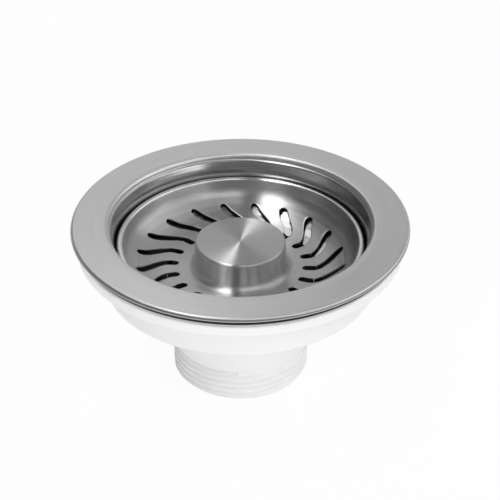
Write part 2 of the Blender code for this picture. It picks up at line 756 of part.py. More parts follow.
def main():
    clear_scene()
    brushed_steel = finish("brushed_steel", (0.62, 0.62, 0.61), 0.32, 1.0)
    bright_steel = finish("bright_steel", (0.70, 0.70, 0.70), 0.22, 1.0)
    white_plastic = finish("white_plastic", (0.88, 0.88, 0.86), 0.45, 0.0)
    grey_foam = finish("grey_foam", (0.50, 0.50, 0.51), 0.80, 0.0)
    black_rubber = finish("black_rubber", (0.03, 0.03, 0.03), 0.60, 0.0)
    black_plastic = finish("black_plastic", (0.05, 0.05, 0.05), 0.50, 0.0)
    brass = finish("brass", (0.72, 0.55, 0.27), 0.35, 1.0)

    make_waste_body(white_plastic)
    make_thread_insert(brass)
    make_seals(black_rubber, grey_foam)
    make_steel_flange(brushed_steel)
    make_centre_screw(bright_steel, white_plastic, black_plastic)

    lift_axis = empty("lift_axis", SEAT)
    spin_axis = empty("spin_axis", 0, lift_axis)
    make_snap_ring(bright_steel, lift_axis)
    make_strainer_basket(brushed_steel, spin_axis)
    make_stopper(black_plastic, black_rubber, bright_steel, spin_axis)


main()
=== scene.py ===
# %% [markdown]
# # A kitchen sink waste with its strainer plug
#
# The object is a pressed steel flange and bowl, a white plastic body that clamps it to the sink, two
# seals, and a steel strainer plug with a drawn knob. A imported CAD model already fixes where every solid
# lies and how it moves. This lesson loads that model and dresses it: each solid is replaced by a finer
# piece in the same place, with a finish that is computed rather than photographed.
#
# Most pieces are round, so most shapes here are outlines that are spun about the upright axis.

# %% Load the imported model
import math

import bmesh
import bpy
from mathutils import Matrix, Vector


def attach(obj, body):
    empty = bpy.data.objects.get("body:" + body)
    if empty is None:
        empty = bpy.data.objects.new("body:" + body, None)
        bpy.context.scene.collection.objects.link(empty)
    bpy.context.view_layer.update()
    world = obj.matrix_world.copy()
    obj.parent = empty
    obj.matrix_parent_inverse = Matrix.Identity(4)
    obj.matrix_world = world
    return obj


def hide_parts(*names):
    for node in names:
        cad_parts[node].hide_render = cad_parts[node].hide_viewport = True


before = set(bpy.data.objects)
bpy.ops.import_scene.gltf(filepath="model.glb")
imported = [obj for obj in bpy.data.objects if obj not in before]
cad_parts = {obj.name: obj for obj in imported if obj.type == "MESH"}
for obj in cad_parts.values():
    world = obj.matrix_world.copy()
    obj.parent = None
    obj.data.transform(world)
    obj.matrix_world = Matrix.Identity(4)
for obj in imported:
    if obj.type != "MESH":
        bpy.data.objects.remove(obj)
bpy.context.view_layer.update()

# %% [markdown]
# ## Outlines
#
# A turned or pressed part is drawn as half of its section: points with a radius and a height. The drawing
# is in millimetres, with heights above the end of the outlet, and one scale turns it into metres.
#
# A real press or mould leaves no sharp corner, so each corner may carry a fillet. The arc could be bevelled
# after spinning, but a bevel of a spun corner is slow and uneven. Putting the arc into the outline first
# costs nothing. Points are also added close to each end of a straight run. Smooth shading blends across
# a whole face, and these narrow faces keep the blend at the fillet, so that the flat beside it stays flat.

# %% Fillets and supporting points in an outline
MM = 0.001
ARC_STEP = 7.5
SUPPORT = 0.25
LONGEST = 3.0


def filleted(corners, closed=False):
    """Points through (radius, height, fillet) corners, each fillet an arc tangent to both sides."""
    points = []
    for index, (radius, height, fillet) in enumerate(corners):
        corner = Vector((radius, height))
        if fillet == 0 or (not closed and index in (0, len(corners) - 1)):
            points.append(corner)
            continue
        back = (Vector(corners[index - 1][:2]) - corner).normalized()
        ahead = (Vector(corners[(index + 1) % len(corners)][:2]) - corner).normalized()
        half = back.angle(ahead) / 2
        centre = corner + (back + ahead).normalized() * fillet / math.sin(half)
        start = corner + back * fillet / math.tan(half) - centre
        sweep = math.pi - 2 * half
        turn = sweep if back.cross(ahead) < 0 else -sweep
        steps = max(2, round(math.degrees(sweep) / ARC_STEP))
        points += [centre + Matrix.Rotation(turn * step / steps, 2) @ start for step in range(steps + 1)]
    return points


def supported(points, closed=False):
    """The same outline with a point close to each end of every long straight run, and some between."""
    result = []
    ends = points[1:] + (points[:1] if closed else [])
    for here, there in zip(points, ends):
        run = (there - here).length
        result.append(here)
        if run > 4 * SUPPORT:
            pieces = max(1, math.ceil((run - 2 * SUPPORT) / LONGEST))
            places = [SUPPORT + (run - 2 * SUPPORT) * piece / pieces for piece in range(pieces + 1)]
            result += [here.lerp(there, place / run) for place in places]
    return result if closed else result + [points[-1]]


def outline(corners, closed=False):
    return supported(filleted(corners, closed), closed)


print("a fillet of 2 mm becomes", len(filleted([(0, 0, 0), (5, 0, 2), (5, 5, 0)])), "points")

# %% [markdown]
# ## Spinning
#
# The spin operator sweeps the outline round the axis in equal steps and merges the last with the first.
# 192 sides keep the edge of a 114 mm flange round at any size on screen, and smaller pieces need fewer.
# After the spin, doubled points on the axis are merged and the normals are made to face outwards, because a
# spin can come out either way.

# %% Spin an outline into a shape
SIDES = 192
MIDDLE_SIDES = 144
SMALL_SIDES = 96
AXIS_MERGE = 0.002 * MM


def turned(points, closed, sides=SIDES):
    """Spins an outline about the upright axis. A closed one becomes a ring and an open one a skin."""
    shape = bmesh.new()
    corners = [shape.verts.new((point.x * MM, 0, point.y * MM)) for point in points]
    edges = [shape.edges.new(pair) for pair in zip(corners, corners[1:])]
    if closed:
        edges.append(shape.edges.new((corners[-1], corners[0])))
    bmesh.ops.spin(
        shape, geom=corners + edges, cent=(0, 0, 0), axis=(0, 0, 1), angle=math.tau, steps=sides, use_merge=True
    )
    bmesh.ops.remove_doubles(shape, verts=shape.verts, dist=AXIS_MERGE)
    bmesh.ops.recalc_face_normals(shape, faces=shape.faces)
    return shape


def facing_up(shape):
    """Turns an open skin over if its upper face looks down."""
    if sum(face.normal.z * face.calc_area() for face in shape.faces) < 0:
        bmesh.ops.reverse_faces(shape, faces=shape.faces)
    return shape


print("one side of a full spin turns by", round(360 / SIDES, 3), "degrees")

# %% [markdown]
# ## Placing a piece
#
# A finished piece is an object at the origin with its place in its mesh. It rides on a body of the CAD
# model and stands for one of its nodes, which is hidden. Modifiers are applied at once:
# the steel's brushed gloss is computed from where a point lies in the mesh's own box, and that has to be
# the box of the finished mesh.

# %% Make an object from a shape
SHARP_ANGLE = math.radians(32)


def place(name, shape, finish, body, node):
    """Turns a shape into a piece that rides on a body and stands for a node of the CAD model."""
    mesh = bpy.data.meshes.new(name)
    shape.to_mesh(mesh)
    shape.free()
    piece = bpy.data.objects.new(name, mesh)
    bpy.context.collection.objects.link(piece)
    mesh.materials.append(finish)
    smooth(mesh)
    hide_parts(node)
    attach(piece, body)
    return piece


def smooth(mesh):
    mesh.shade_smooth()
    mesh.set_sharp_from_angle(angle=SHARP_ANGLE)


def modify(piece, kind, **settings):
    modifier = piece.modifiers.new(kind.lower(), kind)
    for setting, value in settings.items():
        setattr(modifier, setting, value)


def apply_modifiers(piece):
    """Replaces the piece's mesh by what its modifiers make of it."""
    graph = bpy.context.evaluated_depsgraph_get()
    mesh = bpy.data.meshes.new_from_object(piece.evaluated_get(graph))
    piece.modifiers.clear()
    piece.data = mesh
    smooth(mesh)
    print(f"{piece.name}: {len(mesh.polygons)} faces")


# %% [markdown]
# ## Finishes
#
# Each finish is a small network of shader nodes. Networks are hard to read as lists of nodes and links, so
# a number that changes over a surface is wrapped in a class. Python's operators on it add the Math nodes,
# and a formula in the script reads as a formula.

# %% A number that changes over a surface
class Field:
    def __init__(self, network, socket):
        self.network = network
        self.socket = socket

    def math(self, operation, *values):
        sockets = dict(enumerate(values))
        return self.network.node("ShaderNodeMath", {"operation": operation}, sockets)

    def __add__(self, other):
        return self.math("ADD", self, other)

    def __sub__(self, other):
        return self.math("SUBTRACT", self, other)

    def __rsub__(self, other):
        return self.math("SUBTRACT", other, self)

    def __mul__(self, other):
        return self.math("MULTIPLY", self, other)

    def __truediv__(self, other):
        return self.math("DIVIDE", self, other)

    def __pow__(self, other):
        return self.math("POWER", self, other)

    def clipped(self):
        return self.math("MAXIMUM", self.math("MINIMUM", self, 1.0), 0.0)

    def between(self, low, high):
        """0 below the low value, 1 above the high one and smooth between them."""
        settings = {"interpolation_type": "SMOOTHSTEP"}
        return self.network.node("ShaderNodeMapRange", settings, {"Value": self, "From Min": low, "From Max": high})


# %% [markdown]
# The nodes themselves are made by the network. It adds a node with its settings, and then fills each socket
# with a plain value or with a link. The room's light is such a network too, so a material's own needs, the
# Principled shader and its textures, are kept apart in a class of their own.

# %% The network that holds the nodes
class Network:
    """A tree of shader nodes, of a finish or of the room's light."""

    def __init__(self, tree):
        self.tree = tree

    def join(self, socket, value):
        if isinstance(value, Field):
            self.tree.links.new(value.socket, socket)
        else:
            socket.default_value = value

    def node(self, kind, settings=None, sockets=None, output=0):
        """Adds a node: its settings first, then the values or links of its sockets."""
        node = self.tree.nodes.new(kind)
        for setting, value in (settings or {}).items():
            setattr(node, setting, value)
        for socket, value in (sockets or {}).items():
            self.join(node.inputs[socket], value)
        return Field(self, node.outputs[output])

    def outputs(self, kind, *names, sockets=None):
        """Several outputs of one new node."""
        node = self.node(kind, None, sockets).socket.node
        return [Field(self, node.outputs[name]) for name in names]


# %% A material on such a network
MM_PER_METRE = 1000.0


class Finish(Network):
    def __init__(self, name, **constants):
        self.material = bpy.data.materials.new(name)
        self.material.use_nodes = True
        super().__init__(self.material.node_tree)
        self.shader = self.tree.nodes["Principled BSDF"]
        for socket, value in constants.items():
            self.shader.inputs[socket.replace("_", " ")].default_value = value

    def shade(self, **values):
        """Feeds the shader's own sockets."""
        for socket, value in values.items():
            self.join(self.shader.inputs[socket.replace("_", " ")], value)
        return self.material

    def blend(self, amount, first, second):
        """A colour between two colours."""
        settings = {"data_type": "RGBA"}
        return self.node("ShaderNodeMix", settings, {0: amount, 6: first, 7: second}, output=2)

    def vector(self, x, y, z):
        return self.node("ShaderNodeCombineXYZ", None, {0: x, 1: y, 2: z})

    def axes(self):
        """The place of a point in the piece, in millimetres along each axis."""
        place = self.node("ShaderNodeTexCoord", output="Object")
        return [part * MM_PER_METRE for part in self.outputs("ShaderNodeSeparateXYZ", 0, 1, 2, sockets={0: place})]

    def noise(self, where, size, detail=2.0, roughness=0.5, w=None):
        """Smooth noise from 0 to 1 with grains of about this size in millimetres."""
        settings = {"noise_dimensions": "4D" if w is not None else "3D"}
        sockets = {"Vector": where, "Scale": 1 / size, "Detail": detail, "Roughness": roughness}
        if w is not None:
            sockets["W"] = w
        return self.node("ShaderNodeTexNoise", settings, sockets)

    def bump(self, height, depth, below=None):
        """A normal from a height of 0 to 1, with its full depth in millimetres."""
        sockets = {"Height": height, "Distance": depth * MM, "Strength": 1.0}
        if below is not None:
            sockets["Normal"] = below
        return self.node("ShaderNodeBump", None, sockets)


def grey(level, blue=None):
    """A grey as a shader wants it, a little warm or cool where the blue differs."""
    return (level, level, level if blue is None else blue, 1)


print("the middle grey is", grey(0.5))

# %% [markdown]
# ### Brushed steel
#
# The flange and the strainer were spun against an abrasive pad, which leaves fine scratches in rings. Rings
# scatter light across themselves and hardly at all along themselves, and that makes the bright fans that
# turn with the eye. Two things together give this look.
#
# The broad fans come from the shader's anisotropy. Its blur lies along the rings unless it's turned by a
# quarter, so the rotation is 0.25. The single lines come from noise that is long round the axis and short
# across it. The noise reads the radius and the height as they are, and the direction round the axis as a
# point on a small circle, so that there is no seam where the angle starts again.

# %% Lines in rings
QUARTER_TURN = 0.25


def ring_lines(finish, across, along):
    """Noise in lines round the axis: this far apart in millimetres, and this many changes round a turn."""
    x, y, z = finish.axes()
    radius = (x * x + y * y + 0.01) ** 0.5
    where = finish.vector(x / radius * along, y / radius * along, z / across * 1.7)
    return finish.noise(where, 1.0, detail=1.5, w=radius / across)


# %% [markdown]
# The brushing isn't the same everywhere. The pad doesn't reach into the bowl, which stays as the press drew it
# and almost polished. The bowl inside the lip is also painted darker, most on the wall under the lip: that is
# painted shade. The outer side of the flange's hem is painted dark too, as painted shade. The strainer's faces
# that look down are painted dark as painted shade, and its rolled rim is smoother and carries a painted
# highlight. These are masks over the radius, the height and the way a face looks, each a soft step on the way
# in and out, so the same metal can carry all of them without a second material.

# %% Where each steel differs from its brushed face, painted shade and a painted highlight included
LIP_RADIUS = 44.2
LIP_HEIGHT = 57.2
DRAWN_ROUGHNESS = 0.20
# The dark grey that paints shade on the steel.
PAINTED_SHADE_STEEL = grey(0.10)


def drawn_bowl_with_painted_shade(steel, radius, z, lines, colour, roughness):
    """Smoother inside the flange's lip, with painted shade there and along the hem at its edge."""
    inside = 1 - radius.between(LIP_RADIUS - 0.4, LIP_RADIUS)
    drawn = inside * (1 - z.between(LIP_HEIGHT - 0.6, LIP_HEIGHT))
    roughness = roughness + ((lines - 0.5) * 0.08 + DRAWN_ROUGHNESS - roughness) * drawn
    # Painted shade: inside the lip the colour is darker, most on the wall under the lip.
    wall = radius.between(41.0, 43.0)
    colour = steel.blend(drawn * (wall * 0.3 + 0.25), colour, grey(0.20))
    # Painted shade on the outer side of the hem.
    hem = radius.between(56.7, 56.95) * (1 - z.between(57.75, 58.0)) * z.between(56.9, 57.1)
    return steel.blend(hem * 0.8, colour, PAINTED_SHADE_STEEL), roughness


def painted_underside_shade_and_rim_highlight(steel, radius, z, lines, colour, roughness):
    """Painted shade where the sheet looks down, and a painted highlight along the smoother rolled rim."""
    facing = steel.outputs("ShaderNodeNewGeometry", "Normal")[0]
    down = 0 - steel.outputs("ShaderNodeSeparateXYZ", 2, sockets={0: facing})[0]
    # Painted shade on faces that look down.
    colour = steel.blend(down.between(0.0, 0.3) * 0.8, colour, PAINTED_SHADE_STEEL)
    # Painted highlight along the rolled rim, where the roughness is also lower.
    rim_polish_and_painted_highlight = z.between(50.3, 50.7) * radius.between(39.7, 40.1)
    return steel.blend(rim_polish_and_painted_highlight * 0.8, colour, grey(0.95, 0.945)), roughness - rim_polish_and_painted_highlight * 0.08


print("inside a radius of", LIP_RADIUS, "mm the flange has a roughness of", DRAWN_ROUGHNESS)

# %% Brushed steel
LINE_CONTRAST = 1.5


def brushed_steel(name, light, dark, rough, anisotropy, changed):
    """Steel with rings of scratches, changed from place to place by the function given last."""
    steel = Finish(name, Metallic=1.0, Anisotropic=anisotropy, Anisotropic_Rotation=QUARTER_TURN)
    x, y, z = steel.axes()
    radius = (x * x + y * y) ** 0.5
    hair = ring_lines(steel, across=0.26, along=5.0)
    band = ring_lines(steel, across=0.9, along=2.2)
    smudge = steel.noise(steel.vector(x, y, z), 22.0, detail=3.0)
    lines = hair * 0.55 + band * 0.45
    tone = ((lines - 0.5) * LINE_CONTRAST + 0.5 + (smudge - 0.5) * 0.25).clipped()
    colour = steel.blend(tone, dark, light)
    roughness = (lines - 0.5) * 0.16 + (smudge - 0.5) * 0.10 + rough
    colour, roughness = changed(steel, radius, z, lines, colour, roughness)
    scratch = steel.bump(hair, 0.006, below=steel.bump(band, 0.010))
    return steel.shade(Base_Color=colour, Roughness=roughness, Normal=scratch)


FLANGE_STEEL = brushed_steel(
    "flange_brushed_steel", grey(0.79, 0.785), grey(0.64, 0.635), rough=0.42, anisotropy=0.2, changed=drawn_bowl_with_painted_shade
)
STRAINER_STEEL = brushed_steel(
    "strainer_brushed_steel", grey(0.65, 0.645), grey(0.51, 0.505), rough=0.31, anisotropy=1.0, changed=painted_underside_shade_and_rim_highlight
)
print("brushed steels", FLANGE_STEEL.name, "and", STRAINER_STEEL.name)

# %% [markdown]
# ### Bright turned steel and brass
#
# The screw, the stem, the retainer and the snap ring come off a lathe, and the insert is a turned brass
# nut. A lathe leaves finer and more regular rings than a brushing pad, and a brighter face.

# %% Turned metal
def turned_metal(name, light, dark, rough):
    metal = Finish(name, Metallic=1.0, Anisotropic=0.5, Anisotropic_Rotation=QUARTER_TURN)
    x, y, z = metal.axes()
    tool = ring_lines(metal, across=0.12, along=1.2)
    stain = metal.noise(metal.vector(x, y, z), 3.5, detail=3.0)
    return metal.shade(
        Base_Color=metal.blend((tool * 0.5 + stain * 0.6 - 0.05).clipped(), dark, light),
        Roughness=(tool - 0.5) * 0.10 + stain * 0.12 + rough,
        Normal=metal.bump(tool, 0.008),
    )


BRIGHT_STEEL = turned_metal("bright_turned_steel", grey(0.74, 0.73), grey(0.60, 0.59), rough=0.17)
TURNED_BRASS = turned_metal("turned_brass", (0.80, 0.62, 0.30, 1), (0.60, 0.43, 0.20, 1), rough=0.24)
print("turned metals", BRIGHT_STEEL.name, "and", TURNED_BRASS.name)

# %% [markdown]
# ### Moulded plastic
#
# The white body is injection moulded. Its skin follows a spark-eroded steel mould, so it has an even, very
# fine grain with a half gloss, and slow waves where thick places shrank. The black carrier has a coarser
# grain. A little light enters white plastic, but at this size it doesn't show, and a plain surface keeps
# the finish simple.

# %% Plastic with a moulded grain
def moulded_plastic(name, light, dark, rough, grain_size, grain_depth):
    plastic = Finish(name, Specular_IOR_Level=0.5)
    x, y, z = plastic.axes()
    place = plastic.vector(x, y, z)
    grain = plastic.noise(place, grain_size, detail=2.0, roughness=0.6)
    waves = plastic.noise(place, 9.0, detail=2.0)
    flow = plastic.noise(plastic.vector(x * 0.4, y * 0.4, z * 1.6), 14.0, detail=3.0)
    waviness = plastic.bump(waves, 0.03)
    return plastic.shade(
        Base_Color=plastic.blend((flow * 0.7 + grain * 0.3).clipped(), dark, light),
        Roughness=(grain - 0.5) * 0.12 + (flow - 0.5) * 0.10 + rough,
        Normal=plastic.bump(grain, grain_depth, below=waviness),
    )


WHITE_PLASTIC = moulded_plastic(
    "white_plastic", grey(0.90, 0.895), grey(0.85, 0.845), rough=0.42, grain_size=0.22, grain_depth=0.006
)
WASHER_PLASTIC = moulded_plastic(
    "washer_plastic", grey(0.86, 0.83), grey(0.80, 0.77), rough=0.55, grain_size=0.18, grain_depth=0.008
)
BLACK_PLASTIC = moulded_plastic(
    "black_plastic", grey(0.050, 0.052), grey(0.030, 0.032), rough=0.48, grain_size=0.25, grain_depth=0.014
)
print("plastics", WHITE_PLASTIC.name, WASHER_PLASTIC.name, "and", BLACK_PLASTIC.name)

# %% [markdown]
# ### Rubber
#
# The black seals are moulded rubber: dull, slightly grey where talc is left on it, with a fine pitted skin.
# The thin grey seal is a punched ring of closed foam, and its cut edge shows small cells. Cells are what
# Voronoi noise makes: its distance to the nearest centre is a field of round pits.

# %% Rubber and foam
def black_rubber():
    rubber = Finish("black_rubber", Specular_IOR_Level=0.25)
    x, y, z = rubber.axes()
    place = rubber.vector(x, y, z)
    pits = rubber.noise(place, 0.14, detail=3.0, roughness=0.65)
    talc = rubber.noise(place, 4.0, detail=4.0, roughness=0.6).between(0.52, 0.80)
    return rubber.shade(
        Base_Color=rubber.blend(talc * 0.5, grey(0.014, 0.015), grey(0.050)),
        Roughness=talc * 0.18 + pits * 0.12 + 0.50,
        Normal=rubber.bump(pits, 0.020),
    )


def grey_foam():
    foam = Finish("grey_foam", Specular_IOR_Level=0.25)
    x, y, z = foam.axes()
    place = foam.vector(x, y, z)
    cells = foam.node("ShaderNodeTexVoronoi", None, {"Vector": place, "Scale": 3.2})
    mottle = foam.noise(place, 1.8, detail=3.0)
    return foam.shade(
        Base_Color=foam.blend((mottle * 0.6 + cells * 0.6).clipped(), grey(0.44, 0.45), grey(0.58, 0.59)),
        Roughness=cells * 0.15 + 0.75,
        Normal=foam.bump(cells, 0.05),
    )


BLACK_RUBBER = black_rubber()
GREY_FOAM = grey_foam()
print("rubbers", BLACK_RUBBER.name, "and", GREY_FOAM.name)

# %% [markdown]
# ## The flange and the bowl
#
# One disc of 0.8 mm steel is pressed into the flange, the bowl, the recessed seat that the stopper closes
# on, and the sunken drain grid. Only its upper face is drawn. The sheet's thickness is added below it,
# as the press would leave it, by a Solidify modifier with even thickness.
#
# The four drain ports are punched. A boolean cut would work, but the spun skin already has its faces in
# rings and sectors, so the faces inside each port are simply deleted before the thickness is added.

# %% Press the flange and the bowl
FLANGE_TOP = 58.4
SEAT = 35.1
GRID = 29.6
PORT_INSIDE = 11.5
PORT_OUTSIDE = 19.3

flange_outline = outline([
    (57.0, FLANGE_TOP - 1.6, 0),
    (57.0, FLANGE_TOP - 0.35, 1.0),
    (47.4, FLANGE_TOP, 12.0),
    (44.35, FLANGE_TOP, 1.3),
    (44.35, FLANGE_TOP - 1.9, 0.25),
    (43.7, FLANGE_TOP - 2.3, 0.4),
    (42.8, 53.2, 10.0),
    (42.1, 45.9, 3.5),
    (33.15, 39.55, 18.5),
    (26.0, 39.25, 1.0),
    (25.7, SEAT, 0.5),
    (21.6, SEAT, 1.2),
    (20.7, GRID, 0.9),
    (PORT_OUTSIDE, GRID, 0),
    (PORT_INSIDE, GRID, 0),
    (7.2, GRID, 0),
])
flange_skin = facing_up(turned(flange_outline, closed=False))
print("the flange's skin has", len(flange_skin.faces), "faces")

# %% Punch the ports and thicken the sheet
PORTS = 4
PORT_PITCH = 360 / PORTS
PORT_HALF_ANGLE = 33.75
FLANGE_SHEET = 0.8


def in_port(face):
    middle = face.calc_center_median() / MM
    angle = math.degrees(math.atan2(middle.y, middle.x)) % PORT_PITCH
    between_rings = PORT_INSIDE < math.hypot(middle.x, middle.y) < PORT_OUTSIDE
    return between_rings and min(angle, PORT_PITCH - angle) < PORT_HALF_ANGLE


punched = [face for face in flange_skin.faces if in_port(face)]
bmesh.ops.delete(flange_skin, geom=punched, context="FACES")
print(len(punched), "faces punched out for", PORTS, "ports")
flange = place("pressed_flange", flange_skin, FLANGE_STEEL, "waste", "steel_flange")
modify(flange, "SOLIDIFY", thickness=FLANGE_SHEET * MM, offset=-1, use_even_offset=True)
apply_modifiers(flange)

# %% [markdown]
# ## The two seals
#
# The black seal lies under the flange and the thin grey one on the body. Both are rings, so each is a
# closed outline that is spun. The black one is moulded with a softly rounded edge and two shallow beads on
# its upper face, which bite on the sink. The grey one is punched from sheet, so its edges stay square.

# %% Spin the seals
flange_seal = turned(outline([
    (46.85, 54.8, 0.2),
    (55.7, 54.8, 0.3),
    (55.7, 57.3, 0.5),
    (52.6, 57.3, 0.2),
    (52.2, 57.05, 0.2),
    (49.6, 57.05, 0.2),
    (49.2, 57.3, 0.2),
    (46.85, 57.3, 0.2),
], closed=True), closed=True)
place("flange_seal_ring", flange_seal, BLACK_RUBBER, "waste", "flange_seal")
body_seal = turned(outline([
    (45.2, 53.8, 0),
    (55.1, 53.8, 0.08),
    (55.1, 54.5, 0.08),
    (45.2, 54.5, 0),
], closed=True), closed=True)
place("body_seal_ring", body_seal, GREY_FOAM, "waste", "body_seal")
print("two seals spun and placed")

# %% [markdown]
# ## The white body
#
# The body is one moulding: a flat clamping ring, a drum round the bowl, a funnel, and an outlet with a
# thread for the trap's nut. The skin is spun as one closed outline. The parts that aren't round, ribs and
# arms, are bars with softened edges that run a little way into the skin, as they would be moulded.

# %% Spin the body's skin
body_shape = turned(outline([
    (20.6, 0, 0.4),
    (22.0, 0, 0.3),
    (22.2, 0.9, 0.3),
    (22.2, 11.6, 0.4),
    (23.4, 12.5, 0.5),
    (23.4, 22.4, 3.0),
    (44.9, 35.4, 0.9),
    (46.4, 36.4, 0.9),
    (46.4, 51.2, 0.5),
    (53.3, 51.2, 0.4),
    (53.3, 49.7, 0.3),
    (55.1, 49.7, 0.6),
    (55.1, 53.5, 0.6),
    (44.5, 53.5, 0.3),
    (44.5, 37.5, 1.0),
    (20.6, 23.0, 1.5),
], closed=True), closed=True)
print("the body's skin has", len(body_shape.faces), "faces")

# %% Add the ribs and the arms
RIBS = 12
ARMS = 4


def edges_at(corners):
    """Every edge that ends at one of these corners, once."""
    return list(dict.fromkeys(edge for corner in corners for edge in corner.link_edges))


def bar(shape, inner, outer, width, foot, top, angle, rounding):
    """Adds a radial bar with softened edges."""
    size = Matrix.Diagonal(((outer - inner) * MM, width * MM, (top - foot) * MM, 1))
    middle = Matrix.Translation(((outer + inner) / 2 * MM, 0, (top + foot) / 2 * MM))
    turn = Matrix.Rotation(math.radians(angle), 4, "Z")
    corners = bmesh.ops.create_cube(shape, size=1, matrix=turn @ middle @ size)["verts"]
    bmesh.ops.bevel(
        shape,
        geom=edges_at(corners),
        offset=rounding * MM,
        segments=3,
        profile=0.5,
        affect="EDGES",
        material=-1,
    )


for rib in range(RIBS):
    angle = rib * 360 / RIBS
    bar(body_shape, inner=46.0, outer=53.7, width=1.6, foot=50.0, top=51.6, angle=angle, rounding=0.3)
for arm in range(ARMS):
    angle = 45 + arm * 360 / ARMS
    bar(body_shape, inner=10.5, outer=21.6, width=2.4, foot=11.9, top=23.9, angle=angle, rounding=0.5)
print("the body has", len(body_shape.faces), "faces before its hub and thread")

# %% [markdown]
# The hub holds a brass insert, so it is round outside and six-sided inside. A spin can't make that. It is
# built as a stack of loops with the same number of points, round and hexagonal, and the bridge operator
# lays faces between each loop and the next. A hexagon gets its extra points by subdividing its sides.

# %% Bridge round and hexagonal loops
LOOP_SIDES = 48
HEXAGON = 6


def round_loop(shape, radius, height, sides=LOOP_SIDES):
    """The edges of a circle of points at this height."""
    spot = Matrix.Translation((0, 0, height * MM))
    return edges_at(bmesh.ops.create_circle(shape, segments=sides, radius=radius * MM, matrix=spot)["verts"])


def hexagon_loop(shape, inradius, height):
    """The edges of a hexagon with as many points as a circle has."""
    edges = round_loop(shape, inradius / math.cos(math.pi / HEXAGON), height, sides=HEXAGON)
    cut = bmesh.ops.subdivide_edges(shape, edges=edges, cuts=LOOP_SIDES // HEXAGON - 1)
    return edges_of(cut["geom"])


def edges_of(parts):
    return [part for part in parts if isinstance(part, bmesh.types.BMEdge)]


def corners_of(parts):
    return [part for part in parts if isinstance(part, bmesh.types.BMVert)]


def bridged(shape, loops):
    """Lays faces from each loop to the next, and from the last back to the first."""
    for lower, upper in zip(loops, loops[1:] + loops[:1]):
        bmesh.ops.bridge_loops(shape, edges=lower + upper)
    bmesh.ops.recalc_face_normals(shape, faces=shape.faces)
    return shape


hub = bmesh.new()
bridged(hub, [
    hexagon_loop(hub, 8.3, 10.9),
    hexagon_loop(hub, 8.3, 22.5),
    round_loop(hub, 7.2, 22.5),
    round_loop(hub, 7.2, 24.6),
    round_loop(hub, 7.5, 24.9),
    round_loop(hub, 10.9, 24.9),
    round_loop(hub, 11.48, 24.3),
    round_loop(hub, 11.48, 11.5),
    round_loop(hub, 10.9, 10.9),
])
print("the hub has", len(hub.faces), "faces")

# %% [markdown]
# The outlet's thread is a ridge that climbs 2.31 mm in a turn. The spin operator takes a shift for each
# step as well as an angle, and a section spun that way becomes a helix. A moulded thread doesn't start
# with a step, so the ridge sinks into the outlet over a part of a turn at each end.

# %% Wind a thread
SUNK = 0.3
BASE_SHARE = 0.46
CREST_SHARE = 0.13
FADE_TURN = 0.35


def thread(root, crest, pitch, foot, turns, start, steps=SMALL_SIDES):
    """A right-hand ridge with its first middle at this height, from this angle on."""
    shape = bmesh.new()
    base = root - SUNK
    shoulder = crest - 0.05
    section = [
        (base, -BASE_SHARE), (shoulder, -CREST_SHARE), (crest, 0.0), (shoulder, CREST_SHARE), (base, BASE_SHARE)
    ]
    corners = [shape.verts.new((radius * MM, 0, (foot + share * pitch) * MM)) for radius, share in section]
    face = shape.faces.new(corners)
    bmesh.ops.spin(
        shape,
        geom=corners + list(face.edges) + [face],
        cent=(0, 0, 0),
        axis=(0, 0, 1),
        dvec=(0, 0, pitch / steps * MM),
        angle=math.tau * turns,
        steps=round(steps * turns),
    )
    bmesh.ops.recalc_face_normals(shape, faces=shape.faces)
    for corner in shape.verts:
        radius = math.hypot(corner.co.x, corner.co.y)
        turn = (corner.co.z / MM - foot) / pitch
        fade = max(0.0, min(1.0, min(turn + 0.1, turns - turn + 0.1) / FADE_TURN))
        wanted = base * MM + (radius - base * MM) * fade * (2 - fade)
        corner.co.x *= wanted / radius
        corner.co.y *= wanted / radius
    bmesh.ops.rotate(shape, verts=shape.verts, cent=(0, 0, 0), matrix=Matrix.Rotation(math.radians(start), 3, "Z"))
    return shape


def join_shapes(shape, other):
    """Adds a second shape's faces to the first, through a mesh that both can read."""
    passing = bpy.data.meshes.new("passing")
    other.to_mesh(passing)
    other.free()
    shape.from_mesh(passing)
    bpy.data.meshes.remove(passing)


join_shapes(body_shape, hub)
join_shapes(body_shape, thread(root=22.2, crest=23.4, pitch=2.309, foot=1.15, turns=4.3, start=160))
body = place("moulded_body", body_shape, WHITE_PLASTIC, "waste", "waste_body")
print("the body has", len(body.data.polygons), "faces")

# %% [markdown]
# ## Inside the outlet
#
# A hollow screw pulls the bowl down on the brass insert in the hub. A washer lies under its head, and
# a bush in its bore guides the plug's stem. None of these show in the closed plug, but they do from
# below and when the plug is lifted out.

# %% The insert
insert = bmesh.new()
bridged(insert, [
    hexagon_loop(insert, 7.7, 10.9),
    hexagon_loop(insert, 8.0, 11.3),
    hexagon_loop(insert, 8.0, 21.8),
    hexagon_loop(insert, 7.7, 22.2),
    round_loop(insert, 7.5, 22.2),
    round_loop(insert, 7.2, 21.9),
    round_loop(insert, 7.2, 11.2),
    round_loop(insert, 7.5, 10.9),
])
print("the insert has", len(insert.faces), "faces")
place("brass_insert", insert, TURNED_BRASS, "waste", "thread_insert")

